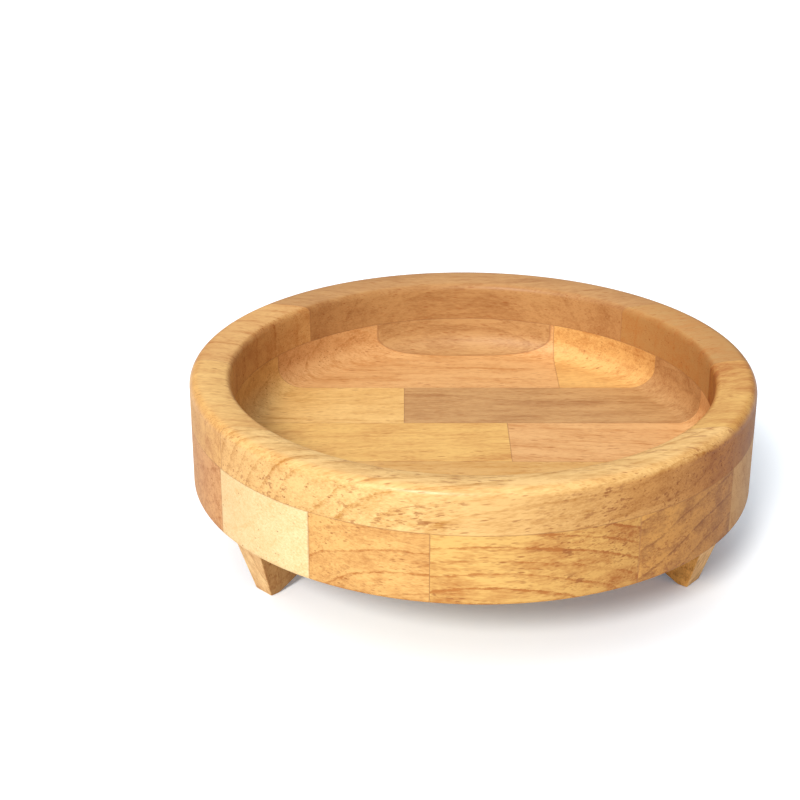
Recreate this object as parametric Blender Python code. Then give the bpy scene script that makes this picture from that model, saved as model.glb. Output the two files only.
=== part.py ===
# Round wooden serving dish on three tapered, fin-shaped feet.
# The body is turned from a blank of two glued layers: a base panel of narrow staves
# with staggered end joints, and a rim layer of wider boards laid over it.
# The floor lies at z = 0, and the grain of both layers runs along X.

import math

import bmesh
import bpy
from mathutils import Matrix, Vector

mm = 0.001

# Whole dish
dish_diameter = 145 * mm
dish_height = 50 * mm
foot_height = 21 * mm
rim_layer_height = 11.3 * mm

# Turned profile
rim_width = 10.5 * mm
outer_round = 2.5 * mm
inner_round = 2 * mm
rim_fall = math.radians(13)
bowl_floor_thickness = 8 * mm
cove_radius = 6 * mm
lower_arris = 0.4 * mm
turning_steps = 120
round_steps = 6

# Glued blank
glue_line = 0.1 * mm
cut_overrun = 5 * mm

# Joints between the rows of each layer, from front to back, as shares of the dish's radius.
# The axis of the dish is at share zero.
base_joint_shares = (-0.852, -0.526, -0.199, 0.128, 0.455, 0.782)
rim_joint_shares = (-0.535, 0.034, 0.604)

# The joint behind the front row of the base tapers that row a little: its turn about Z
first_joint_turn = math.radians(-1.45)

# Where each base row is butted end to end, from left to right, as a share of the radius.
# The last row is one piece.
end_joint_shares = (-0.163, 0.3, -0.42, 0.14, -0.24, 0.36, None)

# Feet: a small toe on the floor that widens and runs inwards to a long seat under the base.
# The toes of the front feet lie spread apart about the front of the dish, and these two feet
# face outwards, almost square to each other. The three are set by hand: together they are
# swung a little about Z, and lie a little to the right of the dish's axis.
front_toes_spread = math.radians(125.6)
front_feet_facing = math.radians(48.2)
feet_swing = math.radians(2.4)
feet_shift = 0.5 * mm
toe_inset = 11 * mm
toe_width = 6 * mm
toe_depth = 2.6 * mm
seat_width = 10.3 * mm
seat_depth = 50 * mm
seat_overhang = 6.8 * mm
foot_arris = 0.3 * mm

# Dowels that pin the feet to the base, two in each foot
dowel_diameter = 5 * mm
dowel_setback = 8.5 * mm
dowel_spacing = 17 * mm
dowel_depth_in_foot = 8 * mm
dowel_depth_in_base = 6 * mm
dowel_chamfer = 0.6 * mm
dowel_fit = 0.15 * mm
dowel_sides = 24

# Sizes that follow from the ones above
dish_radius = dish_diameter / 2
hollow_radius = dish_radius - rim_width
toe_radius = dish_radius - toe_inset
base_bottom = foot_height
base_top = dish_height - rim_layer_height
bowl_floor = base_bottom + bowl_floor_thickness

cream = (0.76, 0.58, 0.34)
straw = (0.66, 0.46, 0.23)
honey = (0.60, 0.36, 0.15)
orange_tan = (0.60, 0.32, 0.12)
tan = (0.52, 0.31, 0.15)
pink_tan = (0.58, 0.35, 0.20)
brown = (0.38, 0.20, 0.09)
birch = (0.72, 0.56, 0.36)

base_tones = (
    (orange_tan, honey),
    (cream, brown),
    (tan, straw),
    (honey, pink_tan),
    (straw, tan),
    (pink_tan, orange_tan),
    (tan, tan),
)
rim_tones = ((honey, honey), (pink_tan, tan), (straw, honey), (tan, tan))
foot_tones = {"left": orange_tan, "right": honey, "back": tan}


def wood_material(name, colour):
    material = bpy.data.materials.new(name)
    material.use_nodes = True
    shader = material.node_tree.nodes["Principled BSDF"]
    shader.inputs["Base Color"].default_value = (*colour, 1)
    shader.inputs["Roughness"].default_value = 0.48
    shader.inputs["Metallic"].default_value = 0
    material.diffuse_color = (*colour, 1)
    return material


def add_object(name, mesh, place=(0, 0, 0), turn=0, colour=None):
    thing = bpy.data.objects.new(name, mesh)
    thing.location = place
    thing.rotation_euler = (0, 0, turn)
    bpy.context.scene.collection.objects.link(thing)
    if colour:
        mesh.materials.append(wood_material(name + "_wood", colour))
        thing.parent = dish
    return thing


def hide_cutter(cutter):
    cutter.hide_render = True
    cutter.display_type = "WIRE"


def add_boolean(thing, cutter, operation):
    cut = thing.modifiers.new(operation.title() + " " + cutter.name, "BOOLEAN")
    cut.object = cutter
    cut.operation = operation
    cut.solver = "EXACT"


def arc(centre, radius, start, end, steps):
    turns = [start + (end - start) * step / steps for step in range(steps + 1)]
    return [(centre[0] + radius * math.cos(t), centre[1] + radius * math.sin(t)) for t in turns]


def turned_mesh(name, profile, steps):
    # The profile is a list of radius and height. The ends that stay off the axis are filled flat.
    bm = bmesh.new()
    points = [bm.verts.new((radius, 0, height)) for radius, height in profile]
    edges = [bm.edges.new(pair) for pair in zip(points, points[1:])]
    bmesh.ops.spin(bm, geom=points + edges, axis=(0, 0, 1), cent=(0, 0, 0),
                   angle=math.tau, steps=steps, use_merge=True)
    rims = [edge for edge in bm.edges if edge.is_boundary]
    bmesh.ops.holes_fill(bm, edges=rims, sides=0)
    bmesh.ops.recalc_face_normals(bm, faces=bm.faces)
    mesh = bpy.data.meshes.new(name)
    bm.to_mesh(mesh)
    bm.free()
    mesh.shade_smooth()
    mesh.set_sharp_from_angle(angle=math.radians(35))
    return mesh


def dish_profile():
    # Bottom edge, outer wall, rounded and slightly falling rim, inner wall and cove, in that order
    outer_arc = arc((dish_radius - outer_round, dish_height - outer_round), outer_round,
                    0, math.pi / 2, round_steps)
    crown_start = dish_radius - outer_round
    crown_end = hollow_radius + inner_round * (1 - math.sin(rim_fall))
    crown_width = crown_start - crown_end
    crown_drop = crown_width * math.tan(rim_fall) / 2
    crown = []
    for step in range(1, round_steps):
        share = step / round_steps
        crown.append((crown_start - crown_width * share, dish_height - crown_drop * share ** 2))
    inner_centre = (hollow_radius + inner_round,
                    dish_height - crown_drop - inner_round * math.cos(rim_fall))
    inner_arc = arc(inner_centre, inner_round, math.pi / 2 + rim_fall, math.pi, round_steps)
    cove = arc((hollow_radius - cove_radius, bowl_floor + cove_radius), cove_radius,
               0, -math.pi / 2, round_steps)
    foot_edge = [(dish_radius - lower_arris, base_bottom), (dish_radius, base_bottom + lower_arris)]
    return foot_edge + outer_arc + crown + inner_arc + cove


def block_mesh(name, x_range, y_range, z_range, slopes):
    # The front and back faces may run askew: slopes say how much their Y grows along X
    bm = bmesh.new()
    bmesh.ops.create_cube(bm, size=1)
    for vert in bm.verts:
        side = int(vert.co.y > 0)
        x = x_range[int(vert.co.x > 0)]
        vert.co = (x, y_range[side] + slopes[side] * x, z_range[int(vert.co.z > 0)])
    mesh = bpy.data.meshes.new(name)
    bm.to_mesh(mesh)
    bm.free()
    return mesh


def add_strip(name, x_range, y_range, z_range, colour, slopes=(0, 0)):
    # A plain block of wood that the turned form trims to its part of the dish
    block = block_mesh(name, x_range, y_range, z_range, slopes)
    strip = add_object(name, block, colour=colour)
    add_boolean(strip, turned_form, "INTERSECT")
    return strip


def rows_between(joint_shares):
    # The front and back edge of each row, in order, with half a glue line left at every joint
    reach = dish_radius + cut_overrun
    edges = [-reach] + [share * dish_radius for share in joint_shares] + [reach]
    return [(front + glue_line / 2, back - glue_line / 2) for front, back in zip(edges, edges[1:])]


def add_base_panel():
    heights = (base_bottom - cut_overrun, base_top - glue_line / 2)
    reach = dish_radius + cut_overrun
    slopes = [0] * (len(base_joint_shares) + 2)
    slopes[1] = math.tan(first_joint_turn)
    rows = zip(rows_between(base_joint_shares), end_joint_shares, base_tones)
    for number, (row, share, tones) in enumerate(rows, 1):
        name = f"base_stave_{number}"
        if share is None:
            pieces = [(name, (-reach, reach), tones[0])]
        else:
            joint = share * dish_radius
            pieces = [(name + "_left", (-reach, joint - glue_line / 2), tones[0]),
                      (name + "_right", (joint + glue_line / 2, reach), tones[1])]
        for piece_name, lengths, colour in pieces:
            edge_slopes = slopes[number - 1:number + 1]
            stave = add_strip(piece_name, lengths, row, heights, colour, edge_slopes)
            add_boolean(stave, dowel_holes, "DIFFERENCE")


def add_rim_layer():
    # A board that crosses the hollow on both edges leaves two separate segments
    heights = (base_top + glue_line / 2, dish_height + cut_overrun)
    reach = dish_radius + cut_overrun
    rows = zip(rows_between(rim_joint_shares), rim_tones)
    for number, (row, tones) in enumerate(rows, 1):
        name = f"rim_segment_{number}"
        if max(abs(edge) for edge in row) < hollow_radius:
            add_strip(name + "_left", (-reach, 0), row, heights, tones[0])
            add_strip(name + "_right", (0, reach), row, heights, tones[1])
        else:
            add_strip(name, (-reach, reach), row, heights, tones[0])


def foot_frames():
    # Where the outer edge of each toe lies, with local -Y as the way that the foot faces.
    # Angles are counted about Z from the front of the dish.
    frames = {}
    for side, azimuth, facing in (
        ("left", -front_toes_spread / 2, -front_feet_facing),
        ("right", front_toes_spread / 2, front_feet_facing),
        ("back", math.pi, math.pi),
    ):
        around = Matrix.Rotation(feet_swing + azimuth, 4, "Z")
        toe = around @ Vector((0, -toe_radius, 0)) + Vector((feet_shift, 0, 0))
        turn = Matrix.Rotation(feet_swing + facing, 4, "Z")
        frames[side] = Matrix.Translation(toe) @ turn
    return frames


def foot_mesh():
    # The foot stands on z = 0, with its outer face towards -Y.
    bm = bmesh.new()
    top = foot_height - glue_line
    outer = -seat_overhang
    inner = outer + seat_depth
    toe = ((-toe_width / 2, 0), (toe_width / 2, 0), (toe_width / 2, toe_depth), (-toe_width / 2, toe_depth))
    seat = ((-seat_width / 2, outer), (seat_width / 2, outer), (seat_width / 2, inner), (-seat_width / 2, inner))
    low = [bm.verts.new((x, y, 0)) for x, y in toe]
    high = [bm.verts.new((x, y, top)) for x, y in seat]
    bm.faces.new(low)
    bm.faces.new(high)
    for corner in range(4):
        after = (corner + 1) % 4
        bm.faces.new((low[corner], low[after], high[after], high[corner]))
    eased = [edge for edge in bm.edges if any(vert.co.z == 0 for vert in edge.verts)]
    bmesh.ops.bevel(bm, geom=eased, offset=foot_arris, offset_type="OFFSET", segments=2,
                    profile=0.5, affect="EDGES", clamp_overlap=True)
    bmesh.ops.recalc_face_normals(bm, faces=bm.faces)
    mesh = bpy.data.meshes.new("foot")
    bm.to_mesh(mesh)
    bm.free()
    return mesh


def dowel_frames():
    # Each dowel stands on the foot's middle line, with its origin level with the base's underside
    frames = {}
    for side, foot in foot_frames().items():
        for place, setback in (("outer", dowel_setback), ("inner", dowel_setback + dowel_spacing)):
            shift = Vector((0, setback - seat_overhang, base_bottom))
            frames[f"{side}_{place}"] = foot @ Matrix.Translation(shift)
    return frames


def dowel_mesh():
    radius = dowel_diameter / 2 - dowel_fit
    low = dowel_fit - dowel_depth_in_foot
    high = dowel_depth_in_base - dowel_fit
    profile = [(radius - dowel_chamfer, low), (radius, low + dowel_chamfer),
               (radius, high - dowel_chamfer), (radius - dowel_chamfer, high)]
    return turned_mesh("foot_dowel", profile, dowel_sides)


def dowel_hole_mesh():
    # One cutter holds all the blind holes that run through the seats of the feet
    bm = bmesh.new()
    middle = Matrix.Translation((0, 0, (dowel_depth_in_base - dowel_depth_in_foot) / 2))
    for frame in dowel_frames().values():
        bmesh.ops.create_cone(bm, cap_ends=True, segments=dowel_sides, radius1=dowel_diameter / 2,
                              radius2=dowel_diameter / 2, depth=dowel_depth_in_base + dowel_depth_in_foot,
                              matrix=frame @ middle)
    mesh = bpy.data.meshes.new("dowel_holes")
    bm.to_mesh(mesh)
    bm.free()
    return mesh


def add_feet():
    for side, frame in foot_frames().items():
        place, turn, scale = frame.decompose()
        foot = add_object("foot_" + side, foot_mesh(), place, turn.to_euler().z, foot_tones[side])
        add_boolean(foot, dowel_holes, "DIFFERENCE")
    for name, frame in dowel_frames().items():
        place, turn, scale = frame.decompose()
        add_object("foot_dowel_" + name, dowel_mesh(), place, turn.to_euler().z, birch)


for thing in list(bpy.data.objects):
    bpy.data.objects.remove(thing, do_unlink=True)

dish = bpy.data.objects.new("dish", None)
bpy.context.scene.collection.objects.link(dish)

turned_form = add_object("turned_form", turned_mesh("turned_form", dish_profile(), turning_steps))
dowel_holes = add_object("dowel_holes", dowel_hole_mesh())
hide_cutter(turned_form)
hide_cutter(dowel_holes)

add_base_panel()
add_rim_layer()
add_feet()
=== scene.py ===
# Round wooden serving dish on three fin-shaped feet.
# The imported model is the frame. Staves, rim segments, feet and dowels are made again here
# from finer turned and shaped surfaces, each in wood with a grain of its own.
import math
import bpy
import numpy as np
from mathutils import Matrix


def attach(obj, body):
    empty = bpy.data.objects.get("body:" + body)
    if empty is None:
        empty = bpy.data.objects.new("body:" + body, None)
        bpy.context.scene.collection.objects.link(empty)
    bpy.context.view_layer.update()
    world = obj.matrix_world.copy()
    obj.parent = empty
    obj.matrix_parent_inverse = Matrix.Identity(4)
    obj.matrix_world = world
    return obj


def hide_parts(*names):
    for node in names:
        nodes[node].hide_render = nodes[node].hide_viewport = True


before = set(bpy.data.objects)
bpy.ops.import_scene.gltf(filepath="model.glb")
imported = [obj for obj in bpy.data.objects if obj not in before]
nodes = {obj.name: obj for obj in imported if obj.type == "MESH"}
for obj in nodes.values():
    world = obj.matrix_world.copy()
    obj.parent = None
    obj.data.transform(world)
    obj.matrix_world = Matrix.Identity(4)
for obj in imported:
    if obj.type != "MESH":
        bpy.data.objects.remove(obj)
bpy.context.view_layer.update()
mm = 0.001
print("frame loaded:", len(nodes), "nodes")

# Camera, where the photograph was taken from
camera = {
    "place": (-0.018047, -0.408541, 0.219725),
    "tilt": math.radians(66.230),
    "pan": math.radians(0.0695),
    "lens": 77.22,
}

cameraData = bpy.data.cameras.new("camera")
cameraData.lens = camera["lens"]
cameraData.clip_start = 0.01
cameraObject = bpy.data.objects.new("camera", cameraData)
cameraObject.location = camera["place"]
cameraObject.rotation_euler = (camera["tilt"], 0, camera["pan"])
bpy.context.scene.collection.objects.link(cameraObject)
bpy.context.scene.camera = cameraObject

# Studio: soft light from the front left and some from behind, a pale floor and a white
# surround. The camera alone sees the floor in floorSeen with floorLift as its glow, so that
# it is white round the shadow.
studio = {
    "worldColour": (0.96, 0.98, 1.0),
    "worldStrength": 0.30,
    "floorColour": (0.72, 0.72, 0.72),
    "floorSeen": (0.92, 0.94, 0.96),
    "floorLift": (0.065, 0.10, 0.14),
    "floorRoughness": 0.9,
    "floorGloss": 0.1,
    "floorSize": 3.0,
    "lamps": {
        # degrees left of the front, degrees above the floor, width in degrees, strength, colour
        "keyLight": (21.0, 35.5, 14.0, 2.8, (1.0, 0.985, 0.96)),
        "sideLight": (45.0, 60.0, 80.0, 1.55, (1.0, 0.99, 0.98)),
        "backLight": (180.0, 55.0, 50.0, 0.55, (1.0, 0.99, 0.98)),
        "fillLight": (-8.0, 12.0, 40.0, 0.2, (1.0, 0.97, 0.93)),
    },
}


def addNode(tree, kind, **settings):
    node = tree.nodes.new(kind)
    for key, value in settings.items():
        setattr(node, key, value)
    return node


def feed(tree, socket, value):
    # value is another node's output, or a plain number, colour or vector
    if isinstance(value, bpy.types.NodeSocket):
        tree.links.new(value, socket)
    else:
        socket.default_value = value


def mixColours(tree, share, a, b, how="MIX"):
    node = addNode(tree, "ShaderNodeMix", data_type="RGBA", blend_type=how)
    feed(tree, node.inputs[0], share)
    feed(tree, node.inputs[6], a)
    feed(tree, node.inputs[7], b)
    return node.outputs[2]


def makeStudio():
    world = bpy.data.worlds.new("studio")
    bpy.context.scene.world = world
    world.use_nodes = True
    tree = world.node_tree
    tree.nodes.clear()
    lit = addNode(tree, "ShaderNodeBackground")
    lit.inputs["Color"].default_value = (*studio["worldColour"], 1)
    lit.inputs["Strength"].default_value = studio["worldStrength"]
    white = addNode(tree, "ShaderNodeBackground")
    white.inputs["Color"].default_value = (1, 1, 1, 1)
    mix = addNode(tree, "ShaderNodeMixShader")
    feed(tree, mix.inputs[0], addNode(tree, "ShaderNodeLightPath").outputs["Is Camera Ray"])
    feed(tree, mix.inputs[1], lit.outputs[0])
    feed(tree, mix.inputs[2], white.outputs[0])
    feed(tree, addNode(tree, "ShaderNodeOutputWorld").inputs["Surface"], mix.outputs[0])

    half = studio["floorSize"] / 2
    mesh = bpy.data.meshes.new("floor")
    corners = [(-half, -half, 0), (half, -half, 0), (half, half, 0), (-half, half, 0)]
    mesh.from_pydata(corners, [], [(0, 1, 2, 3)])
    floor = bpy.data.objects.new("floor", mesh)
    bpy.context.scene.collection.objects.link(floor)
    finish = bpy.data.materials.new("paleFloor")
    finish.use_nodes = True
    tree = finish.node_tree
    shader = tree.nodes["Principled BSDF"]
    seen = addNode(tree, "ShaderNodeLightPath").outputs["Is Camera Ray"]
    shade = mixColours(tree, seen, (*studio["floorColour"], 1), (*studio["floorSeen"], 1))
    feed(tree, shader.inputs["Base Color"], shade)
    shader.inputs["Roughness"].default_value = studio["floorRoughness"]
    shader.inputs["Specular IOR Level"].default_value = studio["floorGloss"]
    glow = addNode(tree, "ShaderNodeEmission")
    glow.inputs["Color"].default_value = (*studio["floorLift"], 1)
    feed(tree, glow.inputs["Strength"], seen)
    add = addNode(tree, "ShaderNodeAddShader")
    feed(tree, add.inputs[0], shader.outputs[0])
    feed(tree, add.inputs[1], glow.outputs[0])
    feed(tree, tree.nodes["Material Output"].inputs["Surface"], add.outputs[0])
    mesh.materials.append(finish)

    for name, (side, up, width, strength, colour) in studio["lamps"].items():
        data = bpy.data.lights.new(name, "SUN")
        data.angle = math.radians(width)
        data.energy = strength
        data.color = colour
        lamp = bpy.data.objects.new(name, data)
        side = math.radians(side)
        up = math.radians(up)
        lamp.location = (-math.sin(side) * math.cos(up), -math.cos(side) * math.cos(up), math.sin(up))
        lamp.rotation_euler = lamp.location.to_track_quat("Z", "Y").to_euler()
        bpy.context.scene.collection.objects.link(lamp)
    bpy.context.scene.view_settings.view_transform = "Standard"


makeStudio()
print("camera, studio and floor ready")


# Node groups. Lengths inside them are in millimetres.
def newGroup(name, inputs, outputs):
    group = bpy.data.node_groups.new(name, "ShaderNodeTree")
    for label, kind, value in inputs:
        socket = group.interface.new_socket(label, in_out="INPUT", socket_type=kind)
        if value is not None:
            socket.default_value = value
    for label, kind in outputs:
        group.interface.new_socket(label, in_out="OUTPUT", socket_type=kind)
    return group, addNode(group, "NodeGroupInput"), addNode(group, "NodeGroupOutput")


def maths(tree, how, a, b=0.0, clamp=False):
    node = addNode(tree, "ShaderNodeMath", operation=how, use_clamp=clamp)
    feed(tree, node.inputs[0], a)
    feed(tree, node.inputs[1], b)
    return node.outputs[0]


def vectors(tree, how, a, b=(0, 0, 0), result=0):
    node = addNode(tree, "ShaderNodeVectorMath", operation=how)
    feed(tree, node.inputs[0], a)
    feed(tree, node.inputs[1], b)
    return node.outputs[result]


def ramp(tree, value, low, high, start=0.0, end=1.0, smooth=True):
    # value from low to high becomes start to end, eased at both ends if smooth
    node = addNode(tree, "ShaderNodeMapRange", interpolation_type="SMOOTHSTEP" if smooth else "LINEAR")
    for index, entry in enumerate((value, low, high, start, end)):
        feed(tree, node.inputs[index], entry)
    return node.outputs[0]


def noise(tree, vector, stretch, detail, roughness=0.5):
    # noise of a vector in mm, with one feature about 1 / stretch mm long along each axis
    node = addNode(tree, "ShaderNodeTexNoise")
    feed(tree, node.inputs["Vector"], vectors(tree, "MULTIPLY", vector, stretch))
    node.inputs["Scale"].default_value = 1.0
    node.inputs["Detail"].default_value = detail
    node.inputs["Roughness"].default_value = roughness
    return node.outputs[0]


# Grain of the wood. A noise is given as features per mm along the grain and across it, its
# detail and its roughness.
grainForm = {
    "slowWave": (0.022, 0.06, 1.0, 0.5),
    "quickWave": (0.10, 0.35, 3.0, 0.5),
    "roughWave": (0.35, 1.6, 3.0, 0.7),
    # how far each wave bends the rings, in mm
    "slowReach": 7.0,
    "quickReach": 1.6,
    "roughReach": 1.1,
    # shares of a ring's width where its dark line ends and where it is over
    "ringEnd": 0.93,
    "ringOver": 0.95,
    "ringShade": 0.35,
    "faintestRing": 0.3,
    "ringPatches": (0.12, 0.5, 4.0, 0.7),
    "clouds": (0.06, 0.2, 4.0, 0.6),
    "fibres": (0.05, 0.8, 4.0, 0.7),
    "fineFibres": (0.45, 2.6, 2.0, 0.6),
    "fineShare": 0.45,
    "mottle": 2.5,
    "darkness": 0.2,
    # the mask along X for painted shade on the right-hand walls, and how far the slow wave shifts it, in mm
    "rightShadeStart": -5.0,
    "rightShadeFull": 73.0,
    "rightShadeShift": 30.0,
    # a fine dense set of vessels, a sparse strong set and a short one: width of a cell in mm,
    # cells per mm along the grain, size of the dark core, its depth, share of the cells kept
    "vessels": (
        (0.42, 0.45, 0.42, 0.55, 1.3),
        (0.78, 0.22, 0.34, 0.80, 1.2),
        (1.50, 0.14, 0.20, 1.0, 0.6),
    ),
    "vesselPatches": (0.07, 0.28, 3.0, 0.5),
    "flecks": (0.22, 1.05, 3.0, 0.6),
    "fleckClusters": (0.05, 0.13, 1.0, 0.5),
    "fleckDepth": 0.8,
}


def makeBoardGrain():
    # Wood of one board, in the board's own coordinates: X runs along the grain and the rings
    # lie about X. Rings are the distance to X over their spacing, bent by noise. Each darkens
    # towards its outside and ends in a thin line. Pores are long thin cells along X. Right of
    # the centre the rings' axis bows towards +Y by Bow times the square of X, and left of it
    # the axis dips by Dip times the square of X. The last output grows from left to right along
    # X: it is the mask for painted shade on the board's right-hand walls.
    group, given, out = newGroup("boardGrain", [
        ("Vector", "NodeSocketVector", None),
        ("Pale", "NodeSocketColor", (0.7, 0.5, 0.3, 1)),
        ("Dark", "NodeSocketColor", (0.4, 0.2, 0.1, 1)),
        ("Pore Colour", "NodeSocketColor", (0.30, 0.10, 0.025, 1)),
        ("Ring Spacing", "NodeSocketFloat", 3.0),
        ("Ring Contrast", "NodeSocketFloat", 0.5),
        ("Ring Width", "NodeSocketFloat", 0.25),
        ("Waviness", "NodeSocketFloat", 1.0),
        ("Bow", "NodeSocketFloat", 0.0),
        ("Dip", "NodeSocketFloat", 0.0),
        ("Pores", "NodeSocketFloat", 0.5),
        ("Flecks", "NodeSocketFloat", 0.0),
        ("Streaks", "NodeSocketFloat", 0.5),
        ("Clouds", "NodeSocketFloat", 0.5),
    ], [("Color", "NodeSocketColor"), ("Pore Mask", "NodeSocketFloat"), ("Height", "NodeSocketFloat"),
        ("Right Shade", "NodeSocketFloat")])
    vector = given.outputs["Vector"]
    apart = addNode(group, "ShaderNodeSeparateXYZ")
    feed(group, apart.inputs[0], vector)
    along = maths(group, "MAXIMUM", apart.outputs[0], 0.0)
    bow = maths(group, "MULTIPLY", maths(group, "MULTIPLY", along, along), given.outputs["Bow"])
    across = maths(group, "SUBTRACT", apart.outputs[1], bow)
    behind = maths(group, "MINIMUM", apart.outputs[0], 0.0)
    dip = maths(group, "MULTIPLY", maths(group, "MULTIPLY", behind, behind), given.outputs["Dip"])
    above = maths(group, "ADD", apart.outputs[2], dip)
    spread = maths(group, "SQRT", maths(group, "ADD", maths(group, "MULTIPLY", across, across),
                                        maths(group, "MULTIPLY", above, above)))
    form = grainForm

    def wave(name, middle=0.0):
        # noise from -middle to 1 - middle
        length, width, detail, roughness = form[name]
        value = noise(group, vector, (length, width, width), detail, roughness)
        return maths(group, "SUBTRACT", value, middle) if middle else value

    slow = wave("slowWave", 0.5)
    bend = maths(group, "ADD", maths(group, "MULTIPLY", slow, form["slowReach"]),
                 maths(group, "MULTIPLY", wave("quickWave", 0.5), form["quickReach"]))
    bend = maths(group, "MULTIPLY", bend, given.outputs["Waviness"])
    bend = maths(group, "ADD", bend, maths(group, "MULTIPLY", wave("roughWave", 0.5), form["roughReach"]))
    count = maths(group, "DIVIDE", maths(group, "ADD", spread, bend), given.outputs["Ring Spacing"])
    share = maths(group, "FRACT", count)
    luck = addNode(group, "ShaderNodeTexWhiteNoise", noise_dimensions="1D")
    feed(group, luck.inputs["W"], maths(group, "FLOOR", count))
    strength = ramp(group, luck.outputs["Value"], 0.0, 1.0, form["faintestRing"], 1.0, smooth=False)
    strength = maths(group, "MULTIPLY", strength, ramp(group, wave("ringPatches"), 0.32, 0.62, 0.4, 1.0))
    start = maths(group, "SUBTRACT", form["ringEnd"], given.outputs["Ring Width"])
    line = maths(group, "POWER", ramp(group, share, start, form["ringEnd"]), 1.5)
    broad = maths(group, "MULTIPLY", maths(group, "POWER", share, 2.0), form["ringShade"])
    stop = ramp(group, share, form["ringOver"], 1.0, 1.0, 0.0)
    ring = maths(group, "MULTIPLY", maths(group, "MAXIMUM", line, broad), stop)
    ring = maths(group, "MULTIPLY", ring, strength)
    ring = maths(group, "MULTIPLY", ring, given.outputs["Ring Contrast"])

    clouds = maths(group, "MULTIPLY", wave("clouds", 0.5), given.outputs["Clouds"])
    fibres = maths(group, "MULTIPLY", wave("fibres", 0.5), given.outputs["Streaks"])
    fibres = maths(group, "ADD", fibres, maths(group, "MULTIPLY", wave("fineFibres", 0.5), form["fineShare"]))
    mottle = maths(group, "MULTIPLY", maths(group, "ADD", clouds, fibres), form["mottle"])
    amount = maths(group, "ADD", maths(group, "ADD", ring, mottle), form["darkness"], clamp=True)
    colour = mixColours(group, amount, given.outputs["Pale"], given.outputs["Dark"])
    # painted shade mask: it grows along X towards the right-hand side, away from the lamps
    shifted = maths(group, "ADD", apart.outputs[0], maths(group, "MULTIPLY", slow, form["rightShadeShift"]))
    drift = ramp(group, shifted, form["rightShadeStart"], form["rightShadeFull"], smooth=False)
    feed(group, out.inputs["Right Shade"], drift)

    pores = None
    for size, length, reach, depth, most in form["vessels"]:
        cells = addNode(group, "ShaderNodeTexVoronoi")
        feed(group, cells.inputs["Vector"], vectors(group, "MULTIPLY", vector, (length, 1 / size, 1 / size)))
        cells.inputs["Scale"].default_value = 1.0
        core = ramp(group, cells.outputs["Distance"], reach * 0.35, reach, 1.0, 0.0)
        chance = addNode(group, "ShaderNodeSeparateColor")
        feed(group, chance.inputs[0], cells.outputs["Color"])
        wanted = maths(group, "MULTIPLY", given.outputs["Pores"], most)
        kept = maths(group, "LESS_THAN", chance.outputs[0], wanted)
        core = maths(group, "MULTIPLY", core, maths(group, "MULTIPLY", kept, chance.outputs[1]))
        core = maths(group, "MULTIPLY", core, depth)
        pores = core if pores is None else maths(group, "MAXIMUM", pores, core)
    pores = maths(group, "MULTIPLY", pores, ramp(group, wave("vesselPatches"), 0.35, 0.6, 0.35, 1.0))
    flecks = ramp(group, wave("flecks"), 0.55, 0.64)
    clusters = ramp(group, wave("fleckClusters"), 0.40, 0.58)
    flecks = maths(group, "MULTIPLY", maths(group, "MULTIPLY", flecks, clusters), given.outputs["Flecks"])
    flecks = maths(group, "MULTIPLY", flecks, form["fleckDepth"])
    colour = mixColours(group, flecks, colour, given.outputs["Pore Colour"])
    colour = mixColours(group, pores, colour, given.outputs["Pore Colour"])
    height = maths(group, "SUBTRACT", maths(group, "MULTIPLY", fibres, 0.6), pores)
    feed(group, out.inputs["Color"], colour)
    feed(group, out.inputs["Pore Mask"], pores)
    feed(group, out.inputs["Height"], height)
    return group


# Use and finish of the body, and where painted shade dims its edges, in mm
wear = {
    # radius, height and reach: the two rounded edges of the rim and the edge under the wall, which get gloss
    # and painted shade
    "edges": ((71.2, 49.8, 1.8), (62.4, 48.5, 1.3), (72.4, 21.1, 0.9)),
    # the same for the glossy outer rounding
    "polish": (72.1, 48.6, 2.0),
    "patches": (0.18, 0.18, 0.3),
    # the least and greatest width of a glue line
    "glue": (0.10, 0.30),
    "latheLines": 1.6,
}


def ringNear(tree, radius, height, edgeRadius, edgeHeight, reach):
    # 1 near the circle round Z with that radius and height, and 0 further off than its reach
    away = maths(tree, "ADD", maths(tree, "POWER", maths(tree, "SUBTRACT", radius, edgeRadius), 2.0),
                 maths(tree, "POWER", maths(tree, "SUBTRACT", height, edgeHeight), 2.0))
    return ramp(tree, maths(tree, "SQRT", away), 0.2, reach, 1.0, 0.0)


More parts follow.
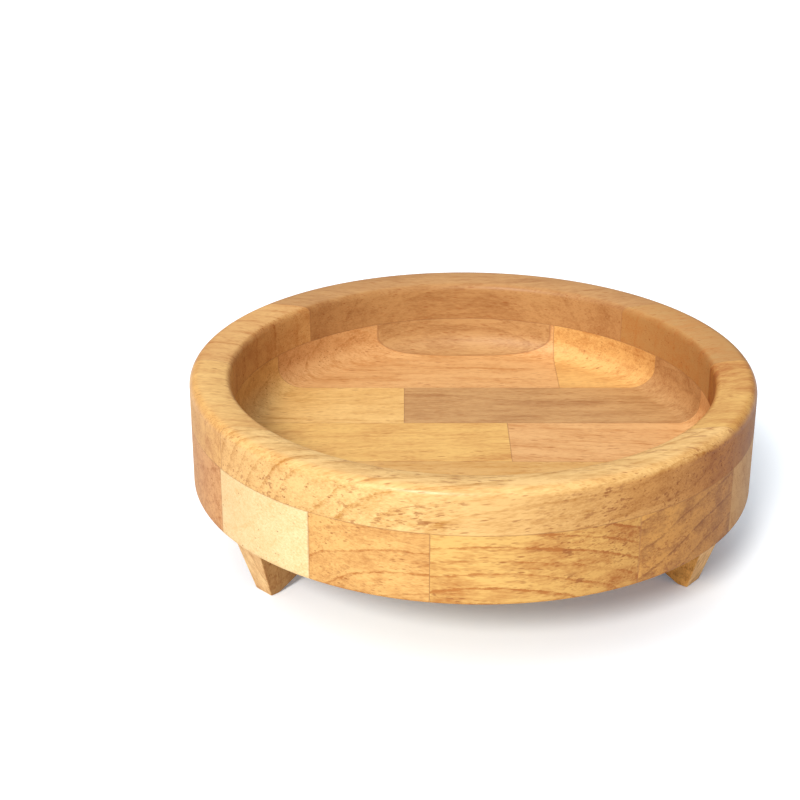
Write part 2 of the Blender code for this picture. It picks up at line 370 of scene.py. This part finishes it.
def makeDishSurface():
    # What turning, gluing and use leave on the body, from the place on the dish: masks for
    # worn edges, which also carry painted shade, the polished rounding, faces square to an axis,
    # faces that look up and glue lines, and the height of fine lathe rings.
    group, given, out = newGroup("dishSurface", [
        ("Vector", "NodeSocketVector", None),
        ("Normal", "NodeSocketVector", None),
        ("Low Corner", "NodeSocketVector", (-99, -99, -99)),
        ("High Corner", "NodeSocketVector", (99, 99, 99)),
        ("Axis", "NodeSocketVector", (1, 0, 0)),
        ("Low Slope", "NodeSocketFloat", 0.0),
        ("High Slope", "NodeSocketFloat", 0.0),
    ], [("Worn", "NodeSocketFloat"), ("Polish", "NodeSocketFloat"), ("Facing Axis", "NodeSocketFloat"),
        ("Facing Up", "NodeSocketFloat"), ("Glue", "NodeSocketFloat"), ("Lathe Rings", "NodeSocketFloat")])
    vector = given.outputs["Vector"]
    apart = addNode(group, "ShaderNodeSeparateXYZ")
    feed(group, apart.inputs[0], vector)
    x, y, z = apart.outputs
    radius = maths(group, "SQRT", maths(group, "ADD", maths(group, "MULTIPLY", x, x),
                                        maths(group, "MULTIPLY", y, y)))
    edges = None
    for edge in wear["edges"]:
        near = ringNear(group, radius, z, *edge)
        edges = near if edges is None else maths(group, "MAXIMUM", edges, near)
    patches = ramp(group, noise(group, vector, wear["patches"], 3.0), 0.35, 0.7, 0.35, 1.0)
    # the edge mask gives gloss and painted shade on the rounded edges, in patches
    feed(group, out.inputs["Worn"], maths(group, "MULTIPLY", edges, patches))
    feed(group, out.inputs["Polish"], ringNear(group, radius, z, *wear["polish"]))

    facing = vectors(group, "DOT_PRODUCT", given.outputs["Normal"], given.outputs["Axis"], result=1)
    feed(group, out.inputs["Facing Axis"], ramp(group, maths(group, "ABSOLUTE", facing), 0.3, 0.95))
    upward = vectors(group, "DOT_PRODUCT", given.outputs["Normal"], (0, 0, 1), result=1)
    feed(group, out.inputs["Facing Up"], ramp(group, upward, 0.1, 0.8))

    # the distance to the nearest face of the block; its front and back may run askew
    nearest = None
    for label in ("Low", "High"):
        lean = addNode(group, "ShaderNodeCombineXYZ")
        feed(group, lean.inputs[1], maths(group, "MULTIPLY", x, given.outputs[label + " Slope"]))
        straight = vectors(group, "SUBTRACT", vector, lean.outputs[0])
        away = vectors(group, "SUBTRACT", straight, given.outputs[label + " Corner"])
        gap = addNode(group, "ShaderNodeSeparateXYZ")
        feed(group, gap.inputs[0], vectors(group, "ABSOLUTE", away))
        for entry in gap.outputs:
            nearest = entry if nearest is None else maths(group, "MINIMUM", nearest, entry)
    seep = ramp(group, noise(group, vector, (0.5, 0.5, 0.5), 2.0), 0.3, 0.7, *wear["glue"])
    feed(group, out.inputs["Glue"], ramp(group, nearest, 0.02, seep, 1.0, 0.0))

    turn = addNode(group, "ShaderNodeTexNoise", noise_dimensions="1D")
    feed(group, turn.inputs["W"], maths(group, "ADD", radius, z))
    turn.inputs["Scale"].default_value = wear["latheLines"]
    turn.inputs["Detail"].default_value = 3.0
    feed(group, out.inputs["Lathe Rings"], turn.outputs[0])
    return group


boardGrain = makeBoardGrain()
dishSurface = makeDishSurface()
print("node groups ready")

# Tones of the wood, linear
tones = {
    "cream": (0.82, 0.67, 0.37),
    "butter": (0.79, 0.52, 0.21),
    "amber": (0.69, 0.42, 0.13),
    "straw": (0.73, 0.455, 0.163),
    "honey": (0.64, 0.33, 0.075),
    "orangeTan": (0.70, 0.41, 0.137),
    # the next tone, the right foot's pale, is made lighter: painted light on that foot
    "litPeach": (0.92, 0.57, 0.24),
    "apricot": (0.78, 0.52, 0.24),
    "wheat": (0.64, 0.37, 0.135),
    "caramel": (0.44, 0.238, 0.078),
    "bronze": (0.46, 0.245, 0.09),
    "khaki": (0.60, 0.35, 0.12),
    "toffee": (0.56, 0.28, 0.07),
    "tan": (0.50, 0.28, 0.11),
    "pinkTan": (0.66, 0.37, 0.15),
    "ochre": (0.46, 0.215, 0.045),
    "rust": (0.42, 0.16, 0.035),
    "umber": (0.28, 0.11, 0.03),
}


# Finish of the wood, with painted shade on the right-hand walls and on the rounded edges. The tones are
# multiplied in by their shares, and glue is laid over.
woodFinish = {
    # painted shade on the right-hand walls: its colour, and how much of it the lit tops are spared
    "rightShadeColour": (0.55, 0.335, 0.14),
    "litTopSpared": 0.9,
    "endGrain": (0.72, 0.50, 0.38),
    "endGrainShare": 0.42,
    # painted shade that dims the rounded edges: its colour and share
    "edgeShade": (0.86, 0.76, 0.66),
    "edgeShadeShare": 0.9,
    "glue": (0.30, 0.13, 0.05),
    "glueShare": 0.45,
    "roughness": 0.50,
    "poreRoughness": 0.3,
    "wornGloss": 0.08,
    "polishGloss": 0.16,
    "refraction": 1.47,
    "specular": 0.28,
    "bump": 0.35,
    "bumpDepth": 0.08,
    "latheHeight": 0.35,
}
everywhere = ((-99, -99, -99), (99, 99, 99))


def makeWood(name, board, block=everywhere, slopes=(0, 0), axis=(1, 0, 0), endGrainAndSideShade=None):
    # block has the corners of what the piece was cut from, in mm: where the surface comes near
    # them it shows the glue line. Faces square to the axis take the tone given last: on a foot it
    # is painted shade on its side faces, on a dowel its end grain; without one they are the end
    # grain of the body.
    look = woodFinish
    material = bpy.data.materials.new(name + "_wood")
    material.use_nodes = True
    tree = material.node_tree
    shader = tree.nodes["Principled BSDF"]
    place = addNode(tree, "ShaderNodeTexCoord")
    grainPlace = addNode(tree, "ShaderNodeMapping", vector_type="TEXTURE")
    feed(tree, grainPlace.inputs["Vector"], place.outputs["Object"])
    grainPlace.inputs["Location"].default_value = [v * mm for v in board["centre"]]
    grainPlace.inputs["Rotation"].default_value = [math.radians(v) for v in board["turn"]]
    grainPlace.inputs["Scale"].default_value = (mm, mm, mm)
    grain = addNode(tree, "ShaderNodeGroup", node_tree=boardGrain)
    feed(tree, grain.inputs["Vector"], grainPlace.outputs[0])
    grain.inputs["Pale"].default_value = (*tones[board["pale"]], 1)
    grain.inputs["Dark"].default_value = (*tones[board["dark"]], 1)
    for key, value in board.items():
        label = key[0].upper() + key[1:]
        label = "Ring " + label if key in ("spacing", "contrast", "width") else label
        if label in grain.inputs and key not in ("pale", "dark"):
            grain.inputs[label].default_value = value

    inMm = addNode(tree, "ShaderNodeMapping", vector_type="TEXTURE")
    feed(tree, inMm.inputs["Vector"], place.outputs["Object"])
    inMm.inputs["Scale"].default_value = (mm, mm, mm)
    surface = addNode(tree, "ShaderNodeGroup", node_tree=dishSurface)
    feed(tree, surface.inputs["Vector"], inMm.outputs[0])
    feed(tree, surface.inputs["Normal"], place.outputs["Normal"])
    surface.inputs["Low Corner"].default_value = block[0]
    surface.inputs["High Corner"].default_value = block[1]
    surface.inputs["Low Slope"].default_value = slopes[0]
    surface.inputs["High Slope"].default_value = slopes[1]
    surface.inputs["Axis"].default_value = axis

    colour = grain.outputs["Color"]
    if "drift" in board:
        # painted shade: towards its right-hand end the board's wall is darker, as on the side away from the
        # lamps, while its lit top is mostly spared
        spared = maths(tree, "MULTIPLY", surface.outputs["Facing Up"], look["litTopSpared"])
        walls = maths(tree, "MULTIPLY", maths(tree, "SUBTRACT", 1.0, spared), board["drift"])
        drift = maths(tree, "MULTIPLY", grain.outputs["Right Shade"], walls)
        colour = mixColours(tree, drift, colour, (*look["rightShadeColour"], 1), "MULTIPLY")
    # painted shade on a foot's side faces; on a dowel, its end grain
    if endGrainAndSideShade:
        colour = mixColours(tree, surface.outputs["Facing Axis"], colour, (*endGrainAndSideShade, 1), "MULTIPLY")
    else:
        endShade = maths(tree, "MULTIPLY", surface.outputs["Facing Axis"], look["endGrainShare"])
        colour = mixColours(tree, endShade, colour, (*look["endGrain"], 1), "MULTIPLY")
        # painted shade: the rounded edges are dimmed, in patches
        edgeShade = maths(tree, "MULTIPLY", surface.outputs["Worn"], look["edgeShadeShare"])
        colour = mixColours(tree, edgeShade, colour, (*look["edgeShade"], 1), "MULTIPLY")
        glue = maths(tree, "MULTIPLY", surface.outputs["Glue"], look["glueShare"])
        colour = mixColours(tree, glue, colour, (*look["glue"], 1))
    feed(tree, shader.inputs["Base Color"], colour)

    rough = maths(tree, "MULTIPLY", grain.outputs["Pore Mask"], look["poreRoughness"])
    rough = maths(tree, "ADD", look["roughness"], rough)
    for mask, share in (("Worn", look["wornGloss"]), ("Polish", look["polishGloss"])):
        rough = maths(tree, "SUBTRACT", rough, maths(tree, "MULTIPLY", surface.outputs[mask], share))
    feed(tree, shader.inputs["Roughness"], rough)
    shader.inputs["IOR"].default_value = look["refraction"]
    shader.inputs["Specular IOR Level"].default_value = look["specular"]
    bump = addNode(tree, "ShaderNodeBump")
    bump.inputs["Strength"].default_value = look["bump"]
    bump.inputs["Distance"].default_value = look["bumpDepth"] * mm
    lathe = maths(tree, "MULTIPLY", surface.outputs["Lathe Rings"], look["latheHeight"])
    height = maths(tree, "ADD", grain.outputs["Height"], lathe)
    feed(tree, bump.inputs["Height"], height)
    feed(tree, shader.inputs["Normal"], bump.outputs[0])
    return material


# Turned body, in mm. Its wall lies 5 micrometres inside the CAD model's.
body = {
    "radius": 72.495,
    "bottom": 21.0,
    "seam": 38.7,
    "top": 50.0,
    "hollow": 62.0,
    "floor": 29.0,
    "outerRound": 2.5,
    "innerRound": 2.0,
    "rimFall": math.radians(13),
    "cove": 6.0,
    "lowerRound": 0.5,
    "steps": 360,
    "roundSteps": 12,
    "coveSteps": 14,
    "lowerSteps": 5,
    "glueLine": 0.03,
    "overrun": 5.0,
}


def arcPoints(centre, radius, start, end, steps):
    # points on a circle: centre plus radius times cosine and sine of an even run of angles
    turn = np.linspace(start, end, steps + 1)
    return np.stack([centre[0] + radius * np.cos(turn), centre[1] + radius * np.sin(turn)], axis=1)


def bodyProfile():
    # radius and height, from the middle of the underside, round the wall and rim to the
    # middle of the bowl's floor
    b = body
    lowerCentre = (b["radius"] - b["lowerRound"], b["bottom"] + b["lowerRound"])
    wallFoot = arcPoints(lowerCentre, b["lowerRound"], -math.pi / 2, 0, b["lowerSteps"])
    underside = np.stack([np.linspace(0, wallFoot[0, 0], 10)[:-1], np.full(9, b["bottom"])], axis=1)
    outerCentre = (b["radius"] - b["outerRound"], b["top"] - b["outerRound"])
    outer = arcPoints(outerCentre, b["outerRound"], 0, math.pi / 2, b["roundSteps"])
    wall = np.stack([np.full(9, b["radius"]), np.linspace(wallFoot[-1, 1], outer[0, 1], 11)[1:-1]], axis=1)
    # the top falls inwards, slowly at first: by the square of the share of its width
    crownStart = outerCentre[0]
    crownEnd = b["hollow"] + b["innerRound"] * (1 - math.sin(b["rimFall"]))
    width = crownStart - crownEnd
    drop = width * math.tan(b["rimFall"]) / 2
    share = np.linspace(0, 1, 12)[1:-1]
    crown = np.stack([crownStart - width * share, b["top"] - drop * share ** 2], axis=1)
    innerCentre = (b["hollow"] + b["innerRound"], b["top"] - drop - b["innerRound"] * math.cos(b["rimFall"]))
    inner = arcPoints(innerCentre, b["innerRound"], math.pi / 2 + b["rimFall"], math.pi, b["roundSteps"])
    coveCentre = (b["hollow"] - b["cove"], b["floor"] + b["cove"])
    cove = arcPoints(coveCentre, b["cove"], 0, -math.pi / 2, b["coveSteps"])
    innerWall = np.stack([np.full(6, b["hollow"]), np.linspace(inner[-1, 1], cove[0, 1], 8)[1:-1]], axis=1)
    floor = np.stack([np.linspace(cove[-1, 0], 0, 12)[1:], np.full(11, b["floor"])], axis=1)
    return np.concatenate([underside, wallFoot, wall, outer, crown, inner, innerWall, cove, floor])


def makeMesh(name, points, faces):
    # points in millimetres
    mesh = bpy.data.meshes.new(name)
    mesh.from_pydata((np.asarray(points) * mm).tolist(), [], faces)
    mesh.validate()
    return mesh


def turnedMesh(name, profile, steps):
    # The profile carried round Z: point (i, j) is (radius j times cosine of turn i, radius j
    # times sine of turn i, height j). The profile starts and ends on the axis, where the rings
    # close to one point each.
    turn = np.linspace(0, 2 * np.pi, steps, endpoint=False)
    rings = profile[1:-1]
    count = len(rings)
    points = np.stack([np.cos(turn)[:, None] * rings[None, :, 0], np.sin(turn)[:, None] * rings[None, :, 0],
                       np.broadcast_to(rings[None, :, 1], (steps, count))], axis=2).reshape(-1, 3)
    ends = np.array([[0, 0, profile[0, 1]], [0, 0, profile[-1, 1]]])
    i, j = np.meshgrid(np.arange(steps), np.arange(count - 1), indexing="ij")
    here = (i * count + j).ravel()
    beside = ((i + 1) % steps * count + j).ravel()
    quads = np.stack([here, beside, beside + 1, here + 1], axis=1)
    low = np.arange(steps) * count
    nextLow = (np.arange(steps) + 1) % steps * count
    lowFan = np.stack([np.full(steps, len(points)), nextLow, low], axis=1)
    highFan = np.stack([np.full(steps, len(points) + 1), low + count - 1, nextLow + count - 1], axis=1)
    faces = quads.tolist() + lowFan.tolist() + highFan.tolist()
    return makeMesh(name, np.concatenate([points, ends]), faces)


def blockMesh(name, low, high, slopes):
    # the front and back faces may run askew: slopes say how much their Y grows along X
    corners = np.array([[x, y + slope * x, z] for x in (low[0], high[0])
                        for y, slope in zip((low[1], high[1]), slopes) for z in (low[2], high[2])])
    faces = [(0, 1, 3, 2), (4, 6, 7, 5), (0, 4, 5, 1), (2, 3, 7, 6), (0, 2, 6, 4), (1, 5, 7, 3)]
    return makeMesh(name, corners, faces)


def addPiece(name, mesh):
    piece = bpy.data.objects.new(name, mesh)
    bpy.context.scene.collection.objects.link(piece)
    return piece


sharpAngle = math.radians(32)


def smoothMesh(mesh):
    mesh.shade_smooth()
    mesh.set_sharp_from_angle(angle=sharpAngle)


def cutPiece(piece, cutters):
    # cutters is a list of (object, how); the result becomes the piece's own mesh
    for cutter, how in cutters:
        cut = piece.modifiers.new(how.title(), "BOOLEAN")
        cut.object = cutter
        cut.operation = how
        cut.solver = "EXACT"
    seen = piece.evaluated_get(bpy.context.evaluated_depsgraph_get())
    shaped = bpy.data.meshes.new_from_object(seen)
    piece.modifiers.clear()
    piece.data = shaped
    smoothMesh(shaped)


def finishPiece(piece, node, material):
    piece.data.materials.clear()
    piece.data.materials.append(material)
    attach(piece, "root")
    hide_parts(node)


# Base layer: seven rows of staves, six of them butted end to end
baseLayer = {
    "joints": (-61.77, -38.14, -14.43, 9.28, 32.99, 56.70),
    # how much the first joint's Y grows along X: it runs a little askew
    "firstSlope": -0.0253,
    # where along X the staves of a row meet
    "ends": (-11.82, 21.75, -30.45, 10.15, -17.4, 26.1, None),
    # tones, ring centre in mm, turn of the grain in degrees, then values of the grain group,
    # and last the share of painted shade on the walls at the board's right-hand end
    "boards": {
        "base_stave_1_left": dict(
            pale="orangeTan", dark="rust", centre=(-25, -75.7, 14.5), turn=(0, 0, 0),
            spacing=5.0, contrast=0.85, width=0.10, waviness=0.45, pores=1.0, streaks=0.4, clouds=0.65,
            flecks=0.4),
        "base_stave_1_right": dict(
            pale="amber", dark="rust", centre=(2, -93, 1), turn=(0, 0, 0),
            spacing=2.9, contrast=1.35, width=0.28, waviness=0.35, pores=0.8, streaks=0.7, clouds=1.2,
            flecks=1.0, drift=0.85),
        "base_stave_2_left": dict(
            pale="cream", dark="honey", centre=(-50, -20, 60), turn=(0, 4, 0),
            spacing=6.0, contrast=0.14, waviness=0.6, pores=0.12, streaks=0.18, clouds=0.22),
        "base_stave_2_right": dict(
            pale="toffee", dark="umber", centre=(45, -36, -6), turn=(0, 0, 0),
            spacing=5.6, contrast=1.0, width=0.12, waviness=0.5, pores=0.9, streaks=0.5, clouds=1.0,
            flecks=0.7, drift=0.75),
        "base_stave_3_left": dict(
            pale="pinkTan", dark="rust", centre=(-60, -60, -30), turn=(0, 0, 6),
            spacing=4.0, contrast=0.4, waviness=0.8, pores=0.8, streaks=0.7, clouds=0.8),
        "base_stave_3_right": dict(
            pale="khaki", dark="ochre", centre=(40, 30, 70), turn=(0, 3, 0),
            spacing=5.0, contrast=0.5, waviness=0.7, pores=0.6, streaks=0.7, clouds=0.7),
        "base_stave_4_left": dict(
            pale="amber", dark="rust", centre=(-30, 0, -40), turn=(0, 2, 3),
            spacing=4.5, contrast=0.4, waviness=0.8, pores=0.5, streaks=0.5, clouds=0.5),
        "base_stave_4_right": dict(
            pale="pinkTan", dark="rust", centre=(40, -20, 10), turn=(0, 3, -3),
            spacing=3.6, contrast=0.4, waviness=0.8, pores=0.55, streaks=0.5, clouds=0.5),
        "base_stave_5_left": dict(
            pale="straw", dark="ochre", centre=(-40, 30, 0), turn=(0, -4, 4),
            spacing=5.0, contrast=0.4, waviness=0.7, pores=0.5, streaks=0.45, clouds=0.5),
        "base_stave_5_right": dict(
            pale="tan", dark="umber", centre=(30, 10, -30), turn=(0, 2, 2),
            spacing=4.4, contrast=0.35, waviness=0.8, pores=0.6, streaks=0.5, clouds=0.6),
        "base_stave_6_left": dict(
            pale="pinkTan", dark="rust", centre=(-20, 70, 10), turn=(0, 3, -2),
            spacing=5.2, contrast=0.35, waviness=0.9, pores=0.6, streaks=0.5, clouds=0.5),
        "base_stave_6_right": dict(
            pale="orangeTan", dark="rust", centre=(50, 40, 80), turn=(0, -2, 3),
            spacing=4.8, contrast=0.4, waviness=0.7, pores=0.5, streaks=0.5, clouds=0.5),
        "base_stave_7": dict(
            pale="tan", dark="umber", centre=(0, 76, 12), turn=(0, 2, 0),
            spacing=4.0, contrast=0.4, waviness=0.8, pores=0.6, streaks=0.5, clouds=0.5),
    },
}

# Rim layer: four wider boards, the two in the middle cut in half by the hollow
rimLayer = {
    "joints": (-38.79, 2.47, 43.79),
    "ends": (None, 0.0, 0.0, None),
    "boards": {
        "rim_segment_1": dict(
            pale="butter", dark="ochre", centre=(-15, -75.5, 39), turn=(0, -5.7, 0),
            bow=0.0050, dip=0.006, spacing=3.9, contrast=0.6, width=0.4, waviness=0.7, pores=0.7,
            streaks=0.4, clouds=0.6, flecks=0.8, drift=1.0),
        "rim_segment_2_left": dict(
            pale="straw", dark="rust", centre=(-60, -82, 39), turn=(0, 2, 2),
            spacing=7.5, contrast=0.35, width=0.12, waviness=0.5, pores=0.5, streaks=0.3, clouds=0.6),
        "rim_segment_2_right": dict(
            pale="amber", dark="rust", centre=(-20, -84, 39), turn=(0, 2, 0),
            spacing=44, contrast=1.4, width=0.75, waviness=0.4, pores=0.5, streaks=0.35, clouds=0.7,
            drift=0.9),
        "rim_segment_3_left": dict(
            pale="wheat", dark="rust", centre=(-60, -40, 42), turn=(0, -3, 2),
            spacing=8.0, contrast=0.55, width=0.15, waviness=0.6, pores=0.5, streaks=0.35, clouds=0.8),
        "rim_segment_3_right": dict(
            pale="caramel", dark="rust", centre=(60, -36, 38), turn=(0, 3, 2),
            spacing=7.0, contrast=0.4, width=0.12, waviness=0.6, pores=0.5, streaks=0.35, clouds=0.6),
        "rim_segment_4": dict(
            pale="bronze", dark="umber", centre=(0, 120, 20), turn=(0, 1, 1),
            spacing=6.5, contrast=0.4, width=0.15, waviness=0.8, pores=0.5, streaks=0.45, clouds=0.6),
    },
}

# Feet, in mm: one shaped fin, placed three times. As a set they are turned by swing, in
# degrees, and lie to the right by shift.
feet = {
    "toeInset": 11.0,
    "toeWidth": 6.0,
    "toeDepth": 2.6,
    "seatWidth": 10.3,
    "seatDepth": 50.0,
    "seatOverhang": 6.8,
    "height": 21.0,
    "corner": 0.35,
    "cornerPoints": 6,
    "heightSteps": 13,
    # painted shade on each foot's side faces: deep on the left foot, slight on the right
    "sideShades": {"left": (0.57, 0.46, 0.34), "right": (1.0, 0.87, 0.58), "back": (0.85, 0.78, 0.70)},
    "swing": 2.4,
    "shift": 0.5,
    # where the toe lies and which way its face looks, in degrees round Z from the front
    "places": {"left": (-62.8, -48.2), "right": (62.8, 48.2), "back": (180.0, 180.0)},
    "boards": {
        "left": dict(
            pale="apricot", dark="rust", centre=(0, 0, 60), turn=(0, 68, -46),
            spacing=2.6, contrast=0.3, waviness=0.5, pores=0.5, streaks=0.6, clouds=0.4),
        # the right foot's pale tone is made lighter: painted light on that foot
        "right": dict(
            pale="litPeach", dark="rust", centre=(0, 0, 60), turn=(0, 62, 228),
            spacing=2.0, contrast=0.45, waviness=0.4, pores=0.4, streaks=0.7, clouds=0.3),
        "back": dict(
            pale="tan", dark="umber", centre=(0, 0, 60), turn=(0, 66, 90),
            spacing=2.4, contrast=0.35, waviness=0.5, pores=0.5, streaks=0.6, clouds=0.4),
    },
}

# Dowels, in mm: two in each foot, the outer one setback from the seat's outer end. Fit is
# the play all round them in their holes.
dowels = {
    "diameter": 5.0,
    "fit": 0.15,
    "chamfer": 0.6,
    "depthInFoot": 8.0,
    "depthInBase": 6.0,
    "setback": 8.5,
    "spacing": 17.0,
    "flutes": 16,
    "fluteDepth": 0.12,
    "fluteSteps": 6,
    "holeSteps": 48,
    "sideTone": (0.8, 0.7, 0.6),
    "board": dict(
        pale="cream", dark="honey", centre=(0, 0, 0), turn=(0, 90, 0),
        spacing=1.6, contrast=0.2, waviness=0.4, pores=0.2, streaks=0.4, clouds=0.3),
}


def turned(points, degrees):
    # points turned about Z: x' = x cos - y sin, y' = x sin + y cos
    c, s = math.cos(math.radians(degrees)), math.sin(math.radians(degrees))
    points = np.asarray(points, float)
    x, y = points[..., 0], points[..., 1]
    return np.stack([x * c - y * s, x * s + y * c, points[..., 2]], axis=-1)


def footPlace(side):
    # the toe's outer edge on the floor, and the turn of the whole foot
    azimuth, facing = feet["places"][side]
    toe = turned([0, feet["toeInset"] - body["radius"], 0], azimuth + feet["swing"])
    return toe + np.array([feet["shift"], 0, 0]), facing + feet["swing"]


def footPoints():
    # The fin is a rounded oblong that grows from toe to seat: at height share v its half width
    # is the even mix of toe and seat, and so are its outer and inner ends. The corner of the
    # oblong is an arc, drawn in by "pull" near the floor to ease the toe.
    f = feet
    c = f["corner"]
    top = f["height"] - body["glueLine"]
    # lift and pull trace a quarter arc at the floor in four steps
    lift = c * np.array([0, 0.076, 0.293, 0.617, 1.0])
    pull = c * np.array([1.0, 0.617, 0.293, 0.076, 0.0])
    heights = np.concatenate([lift, np.linspace(c, top, f["heightSteps"] + 1)[1:]])
    pulls = np.concatenate([pull, np.zeros(f["heightSteps"])])
    v = (heights / top)[:, None]
    half = f["toeWidth"] / 2 * (1 - v) + f["seatWidth"] / 2 * v - pulls[:, None]
    outer = -f["seatOverhang"] * v + pulls[:, None]
    inner = f["toeDepth"] * (1 - v) + (f["seatDepth"] - f["seatOverhang"]) * v - pulls[:, None]
    count = f["cornerPoints"]
    turn = np.concatenate([np.linspace(q * 90, q * 90 + 90, count) for q in range(4)]) * math.pi / 180
    signX = np.repeat([1, -1, -1, 1], count)[None, :]
    isInner = np.repeat([1, 1, 0, 0], count)[None, :]
    x = signX * (half - c) + c * np.cos(turn)[None, :]
    y = isInner * (inner - c) + (1 - isInner) * (outer + c) + c * np.sin(turn)[None, :]
    z = np.broadcast_to(heights[:, None], x.shape)
    return np.stack([x, y, z], axis=2)


def loftMesh(name, rings):
    # Rings of equal length joined by quads, and closed at both ends by a fan about the middle
    count, around = rings.shape[:2]
    points = np.concatenate([rings.reshape(-1, 3), rings[0].mean(0)[None], rings[-1].mean(0)[None]])
    i, j = np.meshgrid(np.arange(count - 1), np.arange(around), indexing="ij")
    after = (j + 1) % around
    quads = np.stack([(i * around + j).ravel(), (i * around + after).ravel(),
                      ((i + 1) * around + after).ravel(), ((i + 1) * around + j).ravel()], axis=1)
    k = np.arange(around)
    nextK = (k + 1) % around
    lowFan = np.stack([np.full(around, count * around), nextK, k], axis=1)
    base = (count - 1) * around
    highFan = np.stack([np.full(around, count * around + 1), base + k, base + nextK], axis=1)
    return makeMesh(name, points, quads.tolist() + lowFan.tolist() + highFan.tolist())


def dowelPlaces():
    places = {}
    for side in feet["places"]:
        toe, facing = footPlace(side)
        for name, setback in (("outer", dowels["setback"]), ("inner", dowels["setback"] + dowels["spacing"])):
            spot = toe + turned([0, setback - feet["seatOverhang"], 0], facing)
            places[f"{side}_{name}"] = spot + np.array([0, 0, body["bottom"]])
    return places


def dowelPoints(spot):
    # A fluted pin: the radius at turn a is the pin's own, less the flute depth times the sixth
    # power of the cosine of half the flute count times a. Both ends are chamfered in two steps.
    d = dowels
    radius = d["diameter"] / 2 - d["fit"]
    low = d["fit"] - d["depthInFoot"]
    high = d["depthInBase"] - d["fit"]
    cut = d["chamfer"]
    chamfer = [(radius - cut, 0.0), (radius - cut * 0.25, cut * 0.75), (radius, cut * 1.2)]
    profile = [(r, low + rise) for r, rise in chamfer] + [(r, high - rise) for r, rise in reversed(chamfer)]
    profile = np.array(profile)
    around = np.linspace(0, 2 * np.pi, d["flutes"] * d["fluteSteps"], endpoint=False)
    groove = d["fluteDepth"] * np.cos(around * d["flutes"] / 2) ** 6
    reach = profile[:, 0][:, None] - groove[None, :]
    heights = np.broadcast_to(profile[:, 1][:, None], reach.shape)
    return np.stack([reach * np.cos(around), reach * np.sin(around), heights], axis=2) + spot


def holePoints(spot):
    # two rings of the dowel's own radius, at the ends of its hole
    d = dowels
    turn = np.linspace(0, 2 * np.pi, d["holeSteps"], endpoint=False)
    radius = d["diameter"] / 2
    rings = [np.stack([radius * np.cos(turn), radius * np.sin(turn), np.full(len(turn), end)], axis=1)
             for end in (-d["depthInFoot"], d["depthInBase"])]
    return np.array(rings) + spot


def boxesMeet(low, high, thing, grow=1.0):
    # whether a thing comes within grow mm of the box from low to high
    corners = np.array([v.co for v in thing.data.vertices]) / mm
    return np.all(corners.min(0) - grow < high) and np.all(corners.max(0) + grow > low)


def cutLayer(label, layer, bottom, top, slopes):
    # boards side by side, those of a row with an end joint in two: each is a block, cut by the
    # turned form and drilled for the dowels
    rows = [-reach, *layer["joints"], reach]
    for number, (front, back, joint) in enumerate(zip(rows, rows[1:], layer["ends"]), 1):
        spans = {"": (-reach, reach)}
        if joint is not None:
            spans = {"_left": (-reach, joint - halfGlue), "_right": (joint + halfGlue, reach)}
        lean = slopes[number - 1:number + 1]
        for part, (start, end) in spans.items():
            node = f"{label}_{number}{part}"
            low = (start, front + halfGlue, bottom)
            high = (end, back - halfGlue, top)
            piece = addPiece(node + "_turned", blockMesh(node, low, high, lean))
            holes = [(hole, "DIFFERENCE") for hole in holeForms if boxesMeet(low, high, hole)]
            cutPiece(piece, [(turnedForm, "INTERSECT")] + holes)
            finishPiece(piece, node, makeWood(node, layer["boards"][node], (low, high), lean))


turnedForm = addPiece("turnedForm", turnedMesh("turnedForm", bodyProfile(), body["steps"]))
holeForms = []
for name, spot in dowelPlaces().items():
    holeForms.append(addPiece("hole_" + name, loftMesh("hole_" + name, holePoints(spot))))

reach = body["radius"] + body["overrun"]
halfGlue = body["glueLine"] / 2
slopes = [0] * (len(baseLayer["joints"]) + 2)
slopes[1] = baseLayer["firstSlope"]
cutLayer("base_stave", baseLayer, body["bottom"] - body["overrun"], body["seam"] - halfGlue, slopes)
print("base layer cut")

level = [0] * (len(rimLayer["joints"]) + 2)
cutLayer("rim_segment", rimLayer, body["seam"] + halfGlue, body["top"] + body["overrun"], level)
print("rim layer cut")

for side in feet["places"]:
    toe, facing = footPlace(side)
    foot = addPiece(f"foot_{side}_shaped", loftMesh(f"foot_{side}", turned(footPoints(), facing) + toe))
    cutPiece(foot, [(hole, "DIFFERENCE") for hole in holeForms if side in hole.name])
    board = dict(feet["boards"][side])
    board["centre"] = tuple(toe + np.array(board["centre"]))
    wood = makeWood(f"foot_{side}", board, axis=turned([1, 0, 0], facing).tolist(),
                    endGrainAndSideShade=feet["sideShades"][side])
    finishPiece(foot, f"foot_{side}", wood)

for name, spot in dowelPlaces().items():
    pin = addPiece(f"foot_dowel_{name}_fluted", loftMesh(f"foot_dowel_{name}", dowelPoints(spot)))
    smoothMesh(pin.data)
    board = dict(dowels["board"], centre=tuple(spot))
    wood = makeWood(f"foot_dowel_{name}", board, axis=(0, 0, 1), endGrainAndSideShade=dowels["sideTone"])
    finishPiece(pin, f"foot_dowel_{name}", wood)
print("feet and dowels shaped")

for form in (turnedForm, *holeForms):
    bpy.data.objects.remove(form)
